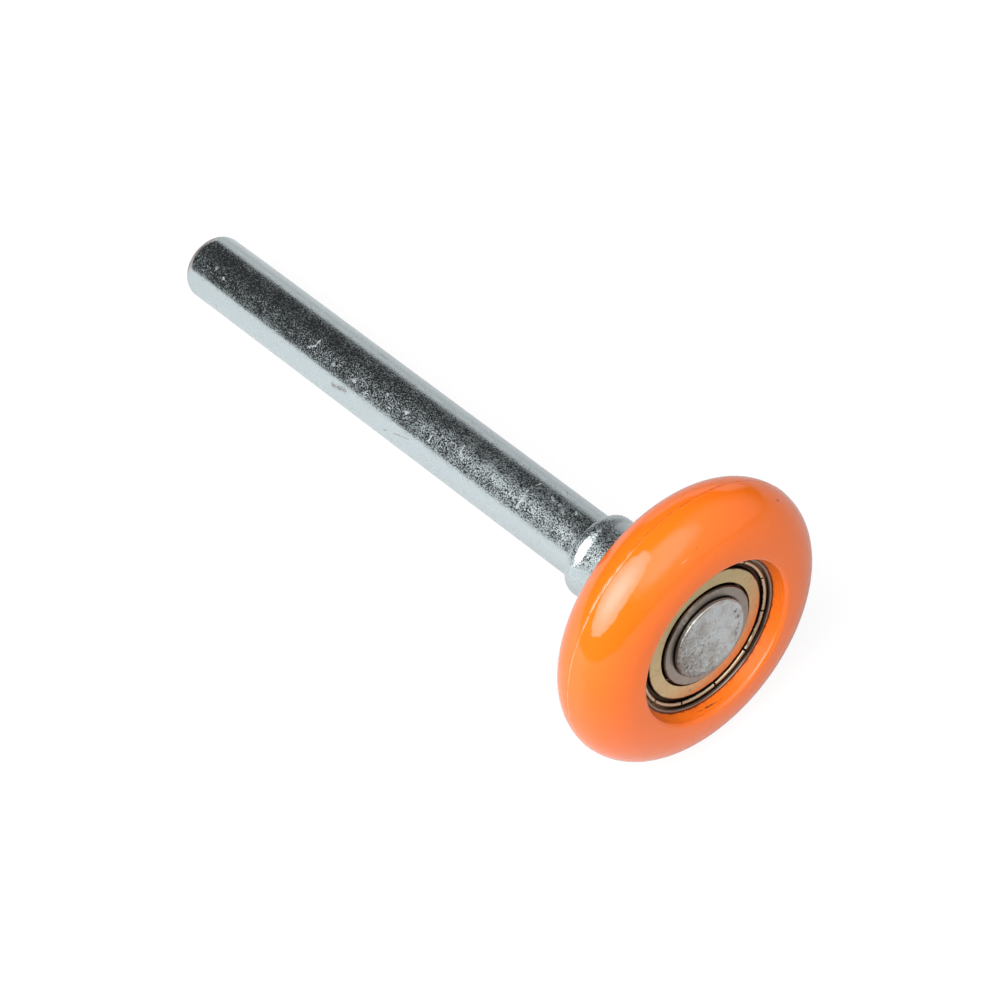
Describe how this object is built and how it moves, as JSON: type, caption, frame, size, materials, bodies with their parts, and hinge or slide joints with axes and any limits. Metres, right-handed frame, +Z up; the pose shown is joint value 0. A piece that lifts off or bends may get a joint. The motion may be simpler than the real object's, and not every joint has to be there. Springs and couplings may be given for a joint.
{
  "type": "garage door roller",
  "caption": "Sectional garage door roller: plated steel stem with a collar and riveted head, shielded ball bearing and a solid orange tyre moulded round it.",
  "frame": {"origin": "on the ground, below the middle of the roller's length as it lies", "axes": "+X from the stem's far end towards the wheel, +Z up; the axle leans 9.3 degrees above +X"},
  "size_m": [0.1216, 0.0474, 0.0469],
  "materials": {
    "zinc_plate": "bright zinc plate, dull and finely pitted, with scuffs",
    "bearing_steel": "ground bearing steel",
    "shield_plate": "gold-toned passivated sheet",
    "cage_steel": "pressed sheet steel",
    "ball_steel": "polished",
    "tyre_orange": "glossy orange moulding"
  },
  "bodies": {
    "axle": {"stem": "zinc_plate", "inner_ring": "bearing_steel"},
    "wheel": {"tyre": "tyre_orange", "outer_ring": "bearing_steel", "shield_front": "shield_plate", "shield_rear": "shield_plate"},
    "cage": {"cage_front": "cage_steel", "cage_rear": "cage_steel", "cage_rivets": "cage_steel"},
    "ball_1": {"ball_1": "ball_steel"},
    "ball_2": {"ball_2": "ball_steel"},
    "ball_3": {"ball_3": "ball_steel"},
    "ball_4": {"ball_4": "ball_steel"},
    "ball_5": {"ball_5": "ball_steel"},
    "ball_6": {"ball_6": "ball_steel"},
    "ball_7": {"ball_7": "ball_steel"},
    "ball_8": {"ball_8": "ball_steel"}
  },
  "joints": [
    {"name": "wheel_spin", "type": "hinge", "parent": "axle", "child": "wheel", "pos_m": [0.05155, 0, 0.02345], "axis": [0.9868, 0, 0.1617], "continuous": true},
    {"name": "cage_spin", "type": "hinge", "parent": "axle", "child": "cage", "pos_m": [0.05155, 0, 0.02345], "axis": [0.9868, 0, 0.1617], "continuous": true},
    {"name": "ball_1_spin", "type": "hinge", "parent": "cage", "child": "ball_1", "pos_m": [0.05317, 0, 0.01358], "axis": [0.9868, 0, 0.1617], "continuous": true},
    {"name": "ball_2_spin", "type": "hinge", "parent": "cage", "child": "ball_2", "pos_m": [0.0527, 0.00707, 0.01647], "axis": [0.9868, 0, 0.1617], "continuous": true},
    {"name": "ball_3_spin", "type": "hinge", "parent": "cage", "child": "ball_3", "pos_m": [0.05155, 0.01, 0.02345], "axis": [0.9868, 0, 0.1617], "continuous": true},
    {"name": "ball_4_spin", "type": "hinge", "parent": "cage", "child": "ball_4", "pos_m": [0.05041, 0.00707, 0.03043], "axis": [0.9868, 0, 0.1617], "continuous": true},
    {"name": "ball_5_spin", "type": "hinge", "parent": "cage", "child": "ball_5", "pos_m": [0.04994, 0, 0.03332], "axis": [0.9868, 0, 0.1617], "continuous": true},
    {"name": "ball_6_spin", "type": "hinge", "parent": "cage", "child": "ball_6", "pos_m": [0.05041, -0.00707, 0.03043], "axis": [0.9868, 0, 0.1617], "continuous": true},
    {"name": "ball_7_spin", "type": "hinge", "parent": "cage", "child": "ball_7", "pos_m": [0.05155, -0.01, 0.02345], "axis": [0.9868, 0, 0.1617], "continuous": true},
    {"name": "ball_8_spin", "type": "hinge", "parent": "cage", "child": "ball_8", "pos_m": [0.0527, -0.00707, 0.01647], "axis": [0.9868, 0, 0.1617], "continuous": true}
  ],
  "couplings": [
    {"joint": "cage_spin", "follows": "wheel_spin", "ratio": 0.619},
    {"joint": "ball_1_spin", "follows": "wheel_spin", "ratio": 1.9818},
    {"joint": "ball_2_spin", "follows": "wheel_spin", "ratio": 1.9818},
    {"joint": "ball_3_spin", "follows": "wheel_spin", "ratio": 1.9818},
    {"joint": "ball_4_spin", "follows": "wheel_spin", "ratio": 1.9818},
    {"joint": "ball_5_spin", "follows": "wheel_spin", "ratio": 1.9818},
    {"joint": "ball_6_spin", "follows": "wheel_spin", "ratio": 1.9818},
    {"joint": "ball_7_spin", "follows": "wheel_spin", "ratio": 1.9818},
    {"joint": "ball_8_spin", "follows": "wheel_spin", "ratio": 1.9818}
  ]
}
